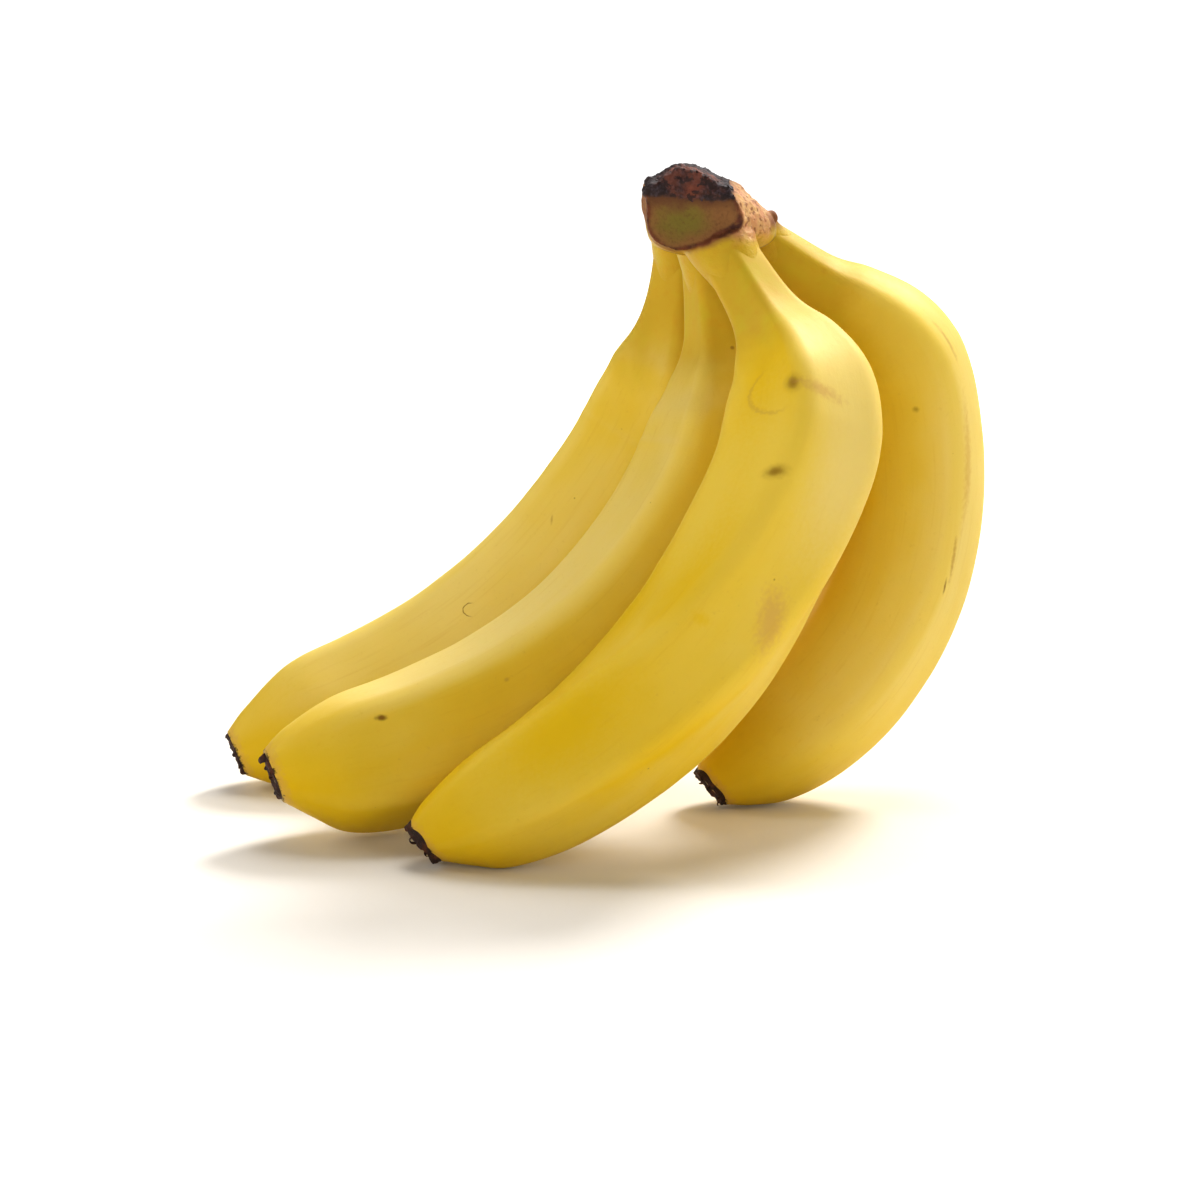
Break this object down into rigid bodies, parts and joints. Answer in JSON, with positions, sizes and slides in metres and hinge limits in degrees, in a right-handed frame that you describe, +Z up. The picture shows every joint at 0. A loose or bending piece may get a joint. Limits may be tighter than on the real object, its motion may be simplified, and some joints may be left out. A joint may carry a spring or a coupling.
{
  "type": "bunch of bananas",
  "caption": "Bunch of ripe yellow bananas joined at a brown, cut crown, standing on the lower sides of its curved fingers.",
  "frame": {"origin": "on the surface the bunch stands on, under the middle of its bounding box", "axes": "+Z up; +X towards the side that the single outer finger curves out to, with the other tips towards -X; -Y towards the front finger"},
  "size_m": [0.2015, 0.1325, 0.166],
  "materials": {
    "banana_skin": "satin waxy peel, ripe yellow with faint green at the necks and small brown marks",
    "crown_bark": "rough dried cut, nearly black on top, olive brown in front, corky tan at the side",
    "dried_flower": "matt, rough, dark brown"
  },
  "bodies": {
    "root": {"crown": "crown_bark", "banana_1": "banana_skin", "banana_2": "banana_skin", "banana_3": "banana_skin", "banana_4": "banana_skin", "flower_stub_1": "dried_flower", "flower_stub_2": "dried_flower", "flower_stub_3": "dried_flower", "flower_stub_4": "dried_flower"}
  },
  "joints": []
}
